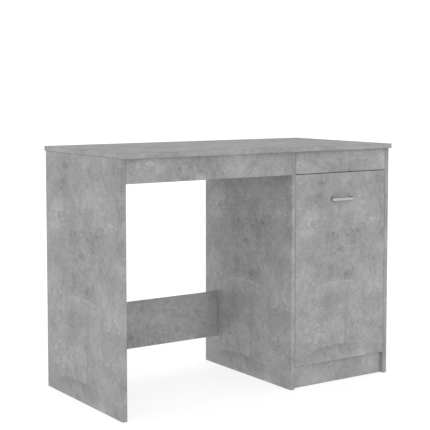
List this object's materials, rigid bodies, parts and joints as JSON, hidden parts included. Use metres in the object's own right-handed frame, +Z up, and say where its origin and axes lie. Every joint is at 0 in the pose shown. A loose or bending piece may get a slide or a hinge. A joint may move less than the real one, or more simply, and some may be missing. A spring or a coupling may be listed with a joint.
{
  "type": "writing desk",
  "caption": "Writing desk in concrete-grey laminated board, with an open knee space beside a cabinet that has a shallow drawer over a hinged door with a bow handle.",
  "frame": {"origin": "on the floor, under the middle of the desktop", "axes": "+Z up, -Y to the front where the user sits, +X to the user's right, where the cabinet is"},
  "size_m": [1, 0.5043, 0.76],
  "materials": {
    "concrete_laminate": "matt concrete-look melamine laminate on chipboard, mottled mid grey",
    "lacquered_hardboard": "light grey lacquered thin hardboard",
    "satin_aluminium": "satin, finely brushed along the bar",
    "zinc_plated_steel": "bright zinc-plated sheet and die-cast hardware",
    "white_nylon": "moulded, satin"
  },
  "bodies": {
    "desk_frame": {"top_board": "concrete_laminate", "left_side_panel": "concrete_laminate", "middle_side_panel": "concrete_laminate", "right_side_panel": "concrete_laminate", "knee_apron": "concrete_laminate", "rear_stretcher": "concrete_laminate", "cabinet_plinth": "concrete_laminate", "cabinet_bottom_board": "concrete_laminate", "drawer_divider_board": "concrete_laminate", "cabinet_back_panel": "lacquered_hardboard", "adjustable_shelf": "concrete_laminate", "shelf_pin_left_front": "zinc_plated_steel", "shelf_pin_left_rear": "zinc_plated_steel", "shelf_pin_right_front": "zinc_plated_steel", "shelf_pin_right_rear": "zinc_plated_steel", "cabinet_rail_left": "zinc_plated_steel", "cabinet_rail_right": "zinc_plated_steel", "hinge_arm_lower": "zinc_plated_steel", "hinge_arm_upper": "zinc_plated_steel", "hinge_plate_lower": "zinc_plated_steel", "hinge_plate_upper": "zinc_plated_steel", "top_cam_left_front": "zinc_plated_steel", "top_cam_left_rear": "zinc_plated_steel", "top_cam_middle_front": "zinc_plated_steel", "top_cam_middle_rear": "zinc_plated_steel", "top_cam_right_front": "zinc_plated_steel", "top_cam_right_rear": "zinc_plated_steel", "apron_cam_left": "zinc_plated_steel", "apron_cam_right": "zinc_plated_steel", "stretcher_cam_left": "zinc_plated_steel", "stretcher_cam_right": "zinc_plated_steel", "bottom_cam_left_front": "zinc_plated_steel", "bottom_cam_left_rear": "zinc_plated_steel", "bottom_cam_right_front": "zinc_plated_steel", "bottom_cam_right_rear": "zinc_plated_steel", "divider_cam_left_front": "zinc_plated_steel", "divider_cam_left_rear": "zinc_plated_steel", "divider_cam_right_front": "zinc_plated_steel", "divider_cam_right_rear": "zinc_plated_steel"},
    "drawer": {"drawer_front": "concrete_laminate", "drawer_side_left": "concrete_laminate", "drawer_side_right": "concrete_laminate", "drawer_back": "concrete_laminate", "drawer_bottom": "lacquered_hardboard", "drawer_rail_left": "zinc_plated_steel", "drawer_rail_right": "zinc_plated_steel", "drawer_cam_left": "zinc_plated_steel", "drawer_cam_right": "zinc_plated_steel"},
    "door": {"door_panel": "concrete_laminate", "door_handle": "satin_aluminium", "handle_screw_left": "zinc_plated_steel", "handle_screw_right": "zinc_plated_steel", "hinge_cup_lower": "zinc_plated_steel", "hinge_cup_upper": "zinc_plated_steel"},
    "front_roller_left": {"front_roller_left": "white_nylon"},
    "front_roller_right": {"front_roller_right": "white_nylon"},
    "rear_roller_left": {"rear_roller_left": "white_nylon"},
    "rear_roller_right": {"rear_roller_right": "white_nylon"},
    "hinge_link_lower": {"hinge_link_lower": "zinc_plated_steel"},
    "hinge_link_upper": {"hinge_link_upper": "zinc_plated_steel"}
  },
  "joints": [
    {"name": "drawer_slide", "type": "slide", "parent": "desk_frame", "child": "drawer", "axis": [0, -1, 0], "range_m": [0, 0.3]},
    {"name": "door_hinge", "type": "hinge", "parent": "desk_frame", "child": "door", "pos_m": [0.48, -0.2335, 0.3715], "axis": [0, 0, 1], "range_deg": [0, 95]},
    {"name": "hinge_link_lower_pivot", "type": "hinge", "parent": "desk_frame", "child": "hinge_link_lower", "pos_m": [0.463, -0.2265, 0.165], "axis": [0, 0, 1], "range_deg": [0, 91]},
    {"name": "hinge_link_upper_pivot", "type": "hinge", "parent": "desk_frame", "child": "hinge_link_upper", "pos_m": [0.463, -0.2265, 0.578], "axis": [0, 0, 1], "range_deg": [0, 91]},
    {"name": "front_roller_left_spin", "type": "hinge", "parent": "desk_frame", "child": "front_roller_left", "pos_m": [0.1215, -0.205, 0.6872], "axis": [1, 0, 0], "range_deg": [0, 1720]},
    {"name": "rear_roller_left_spin", "type": "hinge", "parent": "drawer", "child": "rear_roller_left", "pos_m": [0.1215, 0.1653, 0.6851], "axis": [1, 0, 0], "range_deg": [0, 1720]},
    {"name": "front_roller_right_spin", "type": "hinge", "parent": "desk_frame", "child": "front_roller_right", "pos_m": [0.4785, -0.205, 0.6872], "axis": [1, 0, 0], "range_deg": [0, 1720]},
    {"name": "rear_roller_right_spin", "type": "hinge", "parent": "drawer", "child": "rear_roller_right", "pos_m": [0.4785, 0.1653, 0.6851], "axis": [1, 0, 0], "range_deg": [0, 1720]}
  ],
  "couplings": [
    {"joint": "hinge_link_lower_pivot", "follows": "door_hinge", "ratio": 0.95},
    {"joint": "hinge_link_upper_pivot", "follows": "door_hinge", "ratio": 0.95},
    {"joint": "front_roller_left_spin", "follows": "drawer_slide", "rad_per_m": 100},
    {"joint": "rear_roller_left_spin", "follows": "drawer_slide", "rad_per_m": 100},
    {"joint": "front_roller_right_spin", "follows": "drawer_slide", "rad_per_m": 100},
    {"joint": "rear_roller_right_spin", "follows": "drawer_slide", "rad_per_m": 100}
  ]
}
